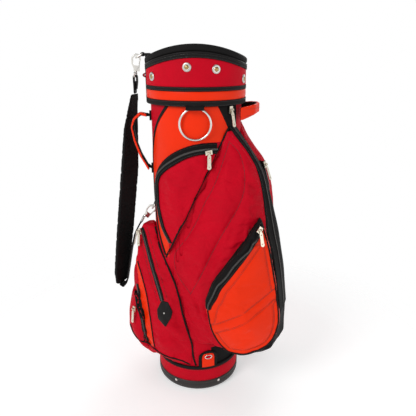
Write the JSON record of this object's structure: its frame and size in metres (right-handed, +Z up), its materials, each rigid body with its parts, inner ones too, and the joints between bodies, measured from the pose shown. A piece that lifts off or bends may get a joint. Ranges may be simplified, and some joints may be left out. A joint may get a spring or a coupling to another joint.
{
  "type": "golf cart bag",
  "caption": "Free-standing round golf bag with zipped pockets, six-way club divider, towel ring, two handles and a clip-on shoulder strap.",
  "frame": {"origin": "centre of the base's flat underside", "axes": "+Z up along the tube, the bag's front face towards -Y, the strap on the -X side"},
  "size_m": [0.4612, 0.316, 0.88],
  "materials": {
    "cup_plastic": "moulded, fine texture",
    "liner_plastic": "smooth",
    "red_nylon": "woven nylon",
    "orange_pu": "coated, fine grain",
    "black_trim": "ribbed binding",
    "black_webbing": "webbing",
    "zip_tape": "zip tape",
    "black_leather": "smooth leather",
    "steel": "satin",
    "snap_metal": "polished",
    "zip_metal": "polished nickel"
  },
  "bodies": {
    "bag": {"base_cup": "cup_plastic", "base_band": "red_nylon", "base_piping": "black_trim", "base_rivets": "steel", "base_tab_frame": "black_trim", "base_tab": "orange_pu", "liner_tube": "liner_plastic", "body_cover": "orange_pu", "top_cuff": "cup_plastic", "cuff_wrap": "red_nylon", "cuff_orange_band": "orange_pu", "cuff_tapes": "black_trim", "rim_trim": "black_trim", "divider_top": "liner_plastic", "divider_sleeves": "black_trim", "cuff_snaps": "snap_metal", "main_pocket": "red_nylon", "side_pocket": "red_nylon", "left_pocket": "red_nylon", "low_left_pocket": "red_nylon", "upper_pocket": "red_nylon", "ball_pocket": "orange_pu", "main_zip_tape": "zip_tape", "upper_zip_tape": "zip_tape", "left_zip_tape": "zip_tape", "low_left_zip_tape": "zip_tape", "side_zip_tape": "zip_tape", "ball_zip_tape": "zip_tape", "leather_patch": "black_leather", "towel_ring_tab": "black_trim", "handle_anchors": "black_trim", "upper_d_ring": "steel", "lower_d_ring": "steel", "d_ring_tabs": "black_webbing"},
    "strap": {"strap_pad": "black_webbing", "strap_webbing": "black_webbing", "upper_hook": "steel", "lower_hook": "steel"},
    "upper_gate": {"upper_hook_gate": "steel"},
    "lower_gate": {"lower_hook_gate": "steel"},
    "towel_ring": {"towel_ring": "steel"},
    "carry_handle": {"carry_handle": "orange_pu"},
    "lift_handle": {"lift_handle": "orange_pu"},
    "main_slider": {"main_slider": "zip_metal"},
    "main_pull": {"main_pull": "zip_metal"},
    "upper_slider": {"upper_slider": "zip_metal"},
    "upper_pull": {"upper_pull": "zip_metal"},
    "left_front_slider": {"left_front_slider": "zip_metal"},
    "left_front_pull": {"left_front_pull": "zip_metal"},
    "left_rear_slider": {"left_rear_slider": "zip_metal"},
    "left_rear_pull": {"left_rear_pull": "zip_metal"},
    "low_left_slider": {"low_left_slider": "zip_metal"},
    "low_left_pull": {"low_left_pull": "zip_metal"},
    "side_slider": {"side_slider": "zip_metal"},
    "side_pull": {"side_pull": "zip_metal"},
    "ball_slider": {"ball_slider": "zip_metal"},
    "ball_pull": {"ball_pull": "zip_metal"}
  },
  "joints": [
    {"name": "main_zip_run", "type": "slide", "parent": "bag", "child": "main_slider", "axis": [0, 0, -1], "range_m": [0, 0.012]},
    {"name": "main_pull_swing", "type": "hinge", "parent": "main_slider", "child": "main_pull", "pos_m": [0.08181, -0.08181, 0.742], "axis": [-0.7071, -0.7071, 0], "range_deg": [0, 150]},
    {"name": "upper_zip_run", "type": "hinge", "parent": "bag", "child": "upper_slider", "pos_m": [0, 0, 0.6192], "axis": [-0.1905, 0.2381, 0.9524], "range_deg": [-36, 3]},
    {"name": "upper_pull_swing", "type": "hinge", "parent": "upper_slider", "child": "upper_pull", "pos_m": [0.03091, -0.12287, 0.65303], "axis": [-0.9614, -0.2753, 0], "range_deg": [0, 150]},
    {"name": "left_front_zip_run", "type": "slide", "parent": "bag", "child": "left_front_slider", "axis": [0.2816, -0.3508, -0.8931], "range_m": [0, 0.15]},
    {"name": "left_front_pull_swing", "type": "hinge", "parent": "left_front_slider", "child": "left_front_pull", "pos_m": [-0.14858, -0.03366, 0.43059], "axis": [-0.7377, 0.6751, 0], "range_deg": [0, 150]},
    {"name": "left_rear_zip_run", "type": "slide", "parent": "bag", "child": "left_rear_slider", "axis": [-0.2256, 0.2256, -0.9477], "range_m": [0, 0.06]},
    {"name": "left_rear_pull_swing", "type": "hinge", "parent": "left_rear_slider", "child": "left_rear_pull", "pos_m": [-0.15741, -0.00722, 0.42095], "axis": [0.1047, 0.9945, 0], "range_deg": [0, 130]},
    {"name": "low_left_zip_run", "type": "slide", "parent": "bag", "child": "low_left_slider", "axis": [-0.0561, -0.0898, -0.9944], "range_m": [0, 0.06]},
    {"name": "low_left_pull_swing", "type": "hinge", "parent": "low_left_slider", "child": "low_left_pull", "pos_m": [-0.16961, -0.06512, 0.22279], "axis": [-0.6952, 0.7188, 0], "range_deg": [0, 150]},
    {"name": "side_zip_run", "type": "slide", "parent": "bag", "child": "side_slider", "axis": [0.269, 0.2373, -0.9335], "range_m": [0, 0.06]},
    {"name": "side_pull_swing", "type": "hinge", "parent": "side_slider", "child": "side_pull", "pos_m": [0.16627, -0.05541, 0.61168], "axis": [-0.5756, -0.8177, 0], "range_deg": [0, 150]},
    {"name": "ball_zip_run", "type": "slide", "parent": "bag", "child": "ball_slider", "axis": [-0.5366, -0.512, -0.6708], "range_m": [0, 0.04]},
    {"name": "ball_pull_swing", "type": "hinge", "parent": "ball_slider", "child": "ball_pull", "pos_m": [0.14631, -0.15803, 0.48435], "axis": [-0.8926, -0.4508, 0], "range_deg": [0, 150]},
    {"name": "towel_ring_swing", "type": "hinge", "parent": "bag", "child": "towel_ring", "pos_m": [0, -0.1113, 0.7485], "axis": [-1, 0, 0], "range_deg": [0, 85]},
    {"name": "strap_swing", "type": "hinge", "parent": "bag", "child": "strap", "pos_m": [-0.119, 0.03, 0.474], "axis": [-0.0635, 0, 0.998], "range_deg": [-35, 0]},
    {"name": "upper_gate_open", "type": "hinge", "parent": "strap", "child": "upper_gate", "pos_m": [-0.13729, 0.03, 0.83135], "axis": [0, -1, 0], "range_deg": [0, 22], "stiffness_Nm_per_rad": 0.02, "springref_deg": -17.19},
    {"name": "lower_gate_open", "type": "hinge", "parent": "strap", "child": "lower_gate", "pos_m": [-0.12618, 0.03, 0.45484], "axis": [0, -1, 0], "range_deg": [0, 22], "stiffness_Nm_per_rad": 0.02, "springref_deg": -17.19},
    {"name": "carry_handle_flop", "type": "hinge", "parent": "bag", "child": "carry_handle", "pos_m": [-0.11238, -0.01181, 0.657], "axis": [0, 0, 1], "range_deg": [-15, 35]},
    {"name": "lift_handle_flop", "type": "hinge", "parent": "bag", "child": "lift_handle", "pos_m": [0.101, 0, 0.733], "axis": [0, -1, 0], "range_deg": [-8, 30]}
  ]
}
